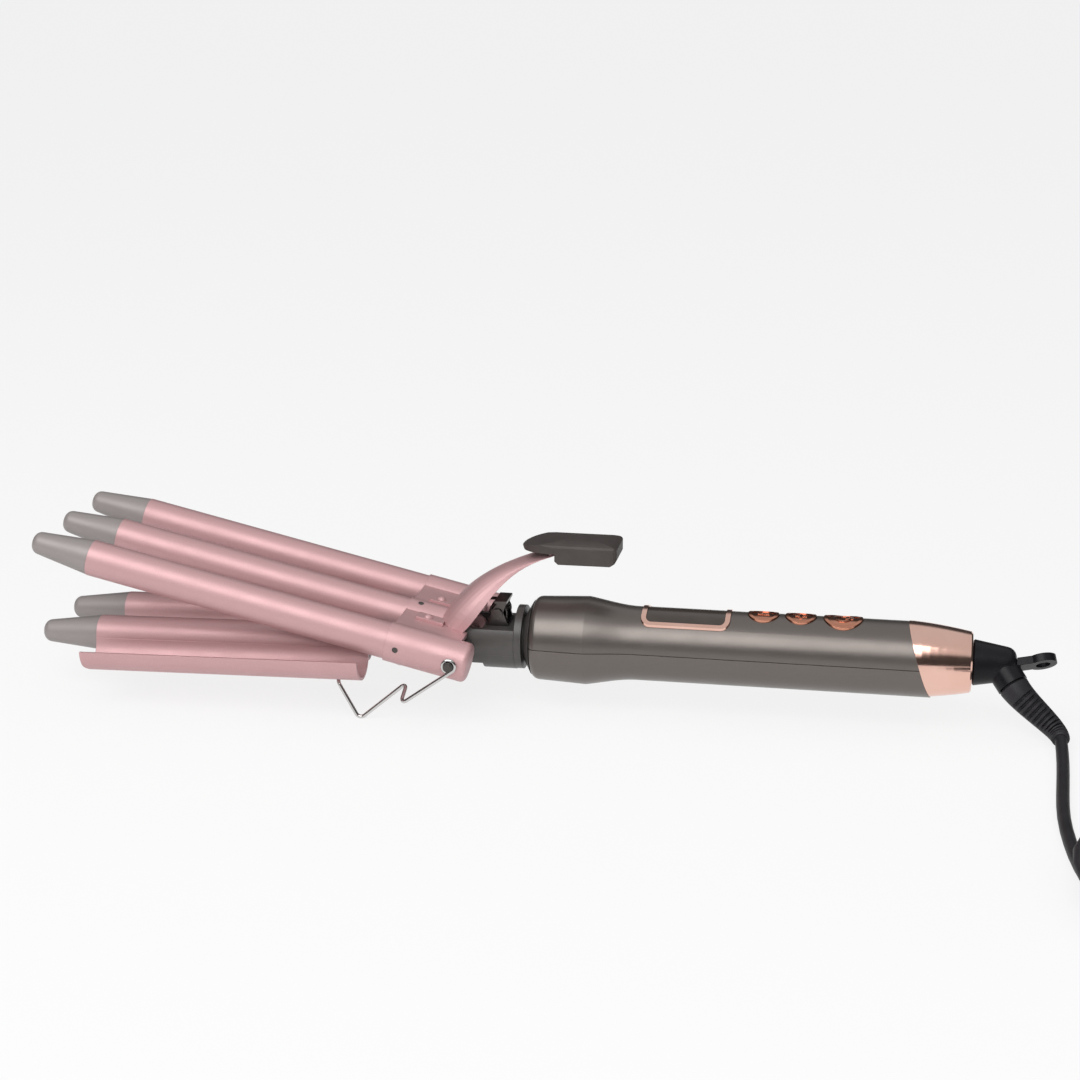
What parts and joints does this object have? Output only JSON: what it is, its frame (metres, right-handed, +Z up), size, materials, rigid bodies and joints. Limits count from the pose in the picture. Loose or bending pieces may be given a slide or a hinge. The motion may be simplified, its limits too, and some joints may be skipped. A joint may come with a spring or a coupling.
{
  "type": "hair waver",
  "caption": "Hinged hair waver with parallel heated barrels that nest between hair troughs, a thumb lever, a wire stand, a display with buttons and a swivel lead.",
  "frame": {"origin": "on the surface it lies on, below the middle of the device without its lead", "axes": "+X along the handle from the barrel tips to the lead, +Z up, +Y across the jaws away from the lead's side"},
  "size_m": [0.4793, 0.2258, 0.0671],
  "materials": {
    "rose_satin": "satin metallic",
    "handle_taupe": "satin metallic",
    "cap_grey": "fine matte",
    "pad_grey": "matte",
    "neck_grey": "matte",
    "black_plastic": "matte",
    "rose_gold": "mirror",
    "display_black": "glossy",
    "bright_steel": "polished",
    "plain_steel": "plain",
    "circuit_board": "solder mask",
    "ceramic": "bare ceramic",
    "black_rubber": "matte"
  },
  "bodies": {
    "handle_and_lower_jaw": {"handle_upper_shell": "handle_taupe", "handle_lower_shell": "handle_taupe", "shell_screws": "plain_steel", "control_board": "circuit_board", "display_module": "ceramic", "display_window": "display_black", "display_bezel": "rose_gold", "key_switches": "black_plastic", "end_collar": "rose_gold", "contact_carrier": "black_plastic", "supply_wires": "black_rubber", "neck_block": "neck_grey", "nose_ring": "black_plastic", "lower_base": "neck_grey", "base_screws": "plain_steel", "spring_bracket": "bright_steel", "spring_arbor": "plain_steel", "torsion_spring": "plain_steel", "lower_barrel_front": "rose_satin", "lower_barrel_rear": "rose_satin", "lower_cap_front": "cap_grey", "lower_cap_rear": "cap_grey", "trough_front": "rose_satin", "trough_rear": "rose_satin", "lower_heaters": "ceramic", "thermal_fuse": "ceramic"},
    "upper_jaw": {"upper_socket_base": "rose_satin", "upper_barrel_front": "rose_satin", "upper_barrel_middle": "rose_satin", "upper_barrel_rear": "rose_satin", "upper_cap_front": "cap_grey", "upper_cap_middle": "cap_grey", "upper_cap_rear": "cap_grey", "upper_heaters": "ceramic", "barrel_screws": "plain_steel", "lever": "rose_satin", "lever_rivets": "rose_satin", "thumb_pad": "pad_grey", "pad_screws": "plain_steel", "stand_rivets": "bright_steel", "hinge_pin": "plain_steel"},
    "stand": {"stand_bail": "bright_steel"},
    "minus": {"minus_button": "rose_gold"},
    "plus": {"plus_button": "rose_gold"},
    "power": {"power_button": "rose_gold"},
    "tail": {"swivel_core": "black_plastic", "tail_cone": "black_plastic", "hang_loop": "black_plastic", "strain_relief": "black_rubber", "cord_tube": "black_rubber", "cord_coil": "black_rubber", "coil_tie": "black_plastic", "plug_body": "black_rubber", "plug_pins": "bright_steel"}
  },
  "joints": [
    {"name": "jaw_hinge", "type": "hinge", "parent": "handle_and_lower_jaw", "child": "upper_jaw", "pos_m": [-0.02692, 0, 0.02602], "axis": [0, 1, 0], "range_deg": [-13.8, 11], "stiffness_Nm_per_rad": 0.8, "springref_deg": -40.11, "deforming": ["torsion_spring"]},
    {"name": "stand_hinge", "type": "hinge", "parent": "handle_and_lower_jaw", "child": "stand", "pos_m": [-0.02692, 0, 0.02602], "axis": [0, 1, 0], "range_deg": [-120, 0]},
    {"name": "minus_press", "type": "slide", "parent": "handle_and_lower_jaw", "child": "minus", "axis": [0, 0, -1], "range_m": [0, 0.0006], "stiffness_N_per_m": 250, "springref_m": -0.002},
    {"name": "plus_press", "type": "slide", "parent": "handle_and_lower_jaw", "child": "plus", "axis": [0, 0, -1], "range_m": [0, 0.0006], "stiffness_N_per_m": 250, "springref_m": -0.002},
    {"name": "power_press", "type": "slide", "parent": "handle_and_lower_jaw", "child": "power", "axis": [0, 0, -1], "range_m": [0, 0.0006], "stiffness_N_per_m": 250, "springref_m": -0.002},
    {"name": "tail_swivel", "type": "hinge", "parent": "handle_and_lower_jaw", "child": "tail", "pos_m": [0.16388, 0, 0.02602], "axis": [1, 0, 0], "continuous": true}
  ]
}
